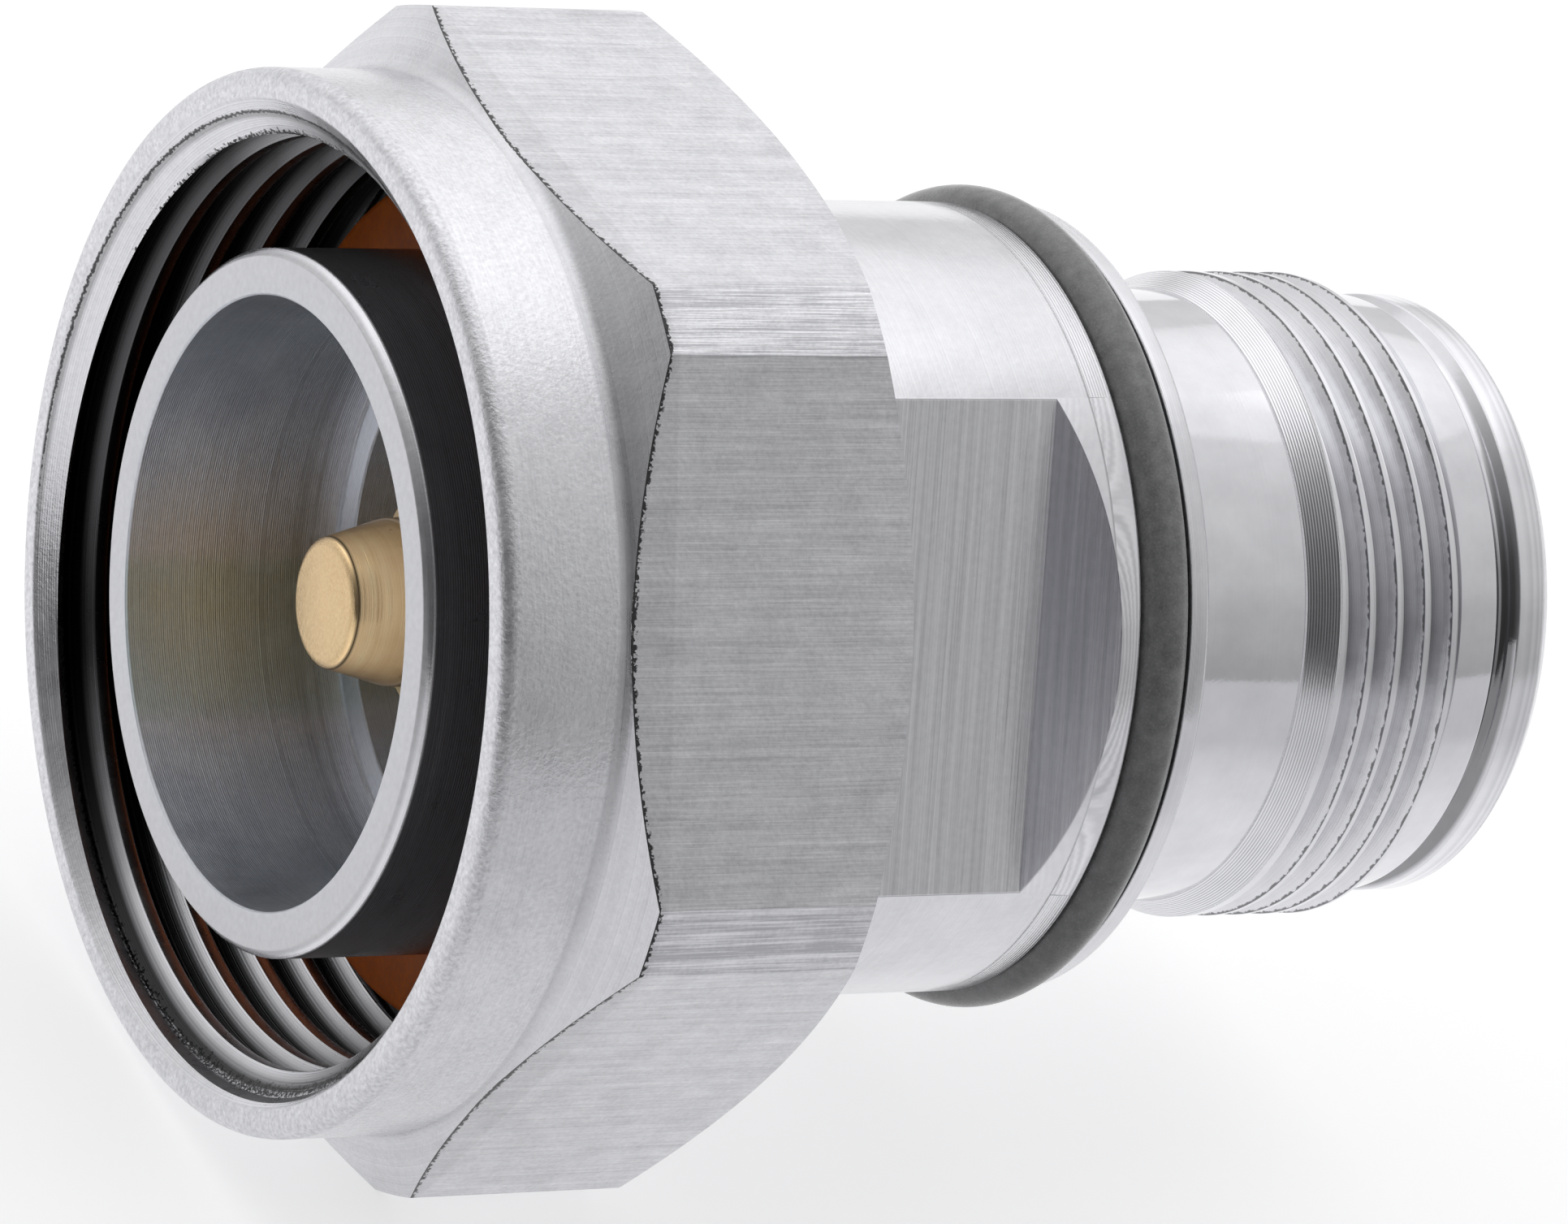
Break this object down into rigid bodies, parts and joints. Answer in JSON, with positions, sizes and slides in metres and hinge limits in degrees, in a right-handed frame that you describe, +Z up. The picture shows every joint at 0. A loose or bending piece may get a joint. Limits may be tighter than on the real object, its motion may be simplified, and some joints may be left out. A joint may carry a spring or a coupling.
{
  "type": "coaxial adapter",
  "caption": "In-line coaxial adapter: a plug with a free-turning hexagon coupling nut and a centre pin, and a smaller threaded jack with a slotted socket at the other end.",
  "frame": {"origin": "centre of the plug's front contact face, on the adapter's axis", "axes": "+X along the axis from the plug to the jack, +Z up, square to the nut flat that faces down"},
  "size_m": [0.0399, 0.0352, 0.0316],
  "materials": {
    "nut_metal": "brass plated with white bronze, turned and milled",
    "plug_body_metal": "brass plated with white bronze, turned",
    "jack_body_metal": "brass plated with white bronze, turned",
    "ring_metal": "spring bronze",
    "pin_gold": "gold plated, turned",
    "socket_gold": "gold plated, turned",
    "insulator_white": "white PTFE",
    "red_silicone": "red-brown silicone",
    "grey_rubber": "dark grey rubber, dull sheen"
  },
  "bodies": {
    "adapter_body": {"plug_body": "plug_body_metal", "jack_body": "jack_body_metal", "plug_pin": "pin_gold", "jack_socket": "socket_gold", "plug_insulator": "insulator_white", "jack_insulator": "insulator_white", "face_gasket": "red_silicone", "weather_seal": "grey_rubber"},
    "ring": {"retaining_ring": "ring_metal"},
    "nut": {"coupling_nut": "nut_metal"}
  },
  "joints": [
    {"name": "nut_play", "type": "slide", "parent": "adapter_body", "child": "ring", "axis": [1, 0, 0], "range_m": [-0.0003, 0.0004]},
    {"name": "nut_turn", "type": "hinge", "parent": "ring", "child": "nut", "pos_m": [0.0111, 0, 0], "axis": [1, 0, 0], "continuous": true}
  ]
}
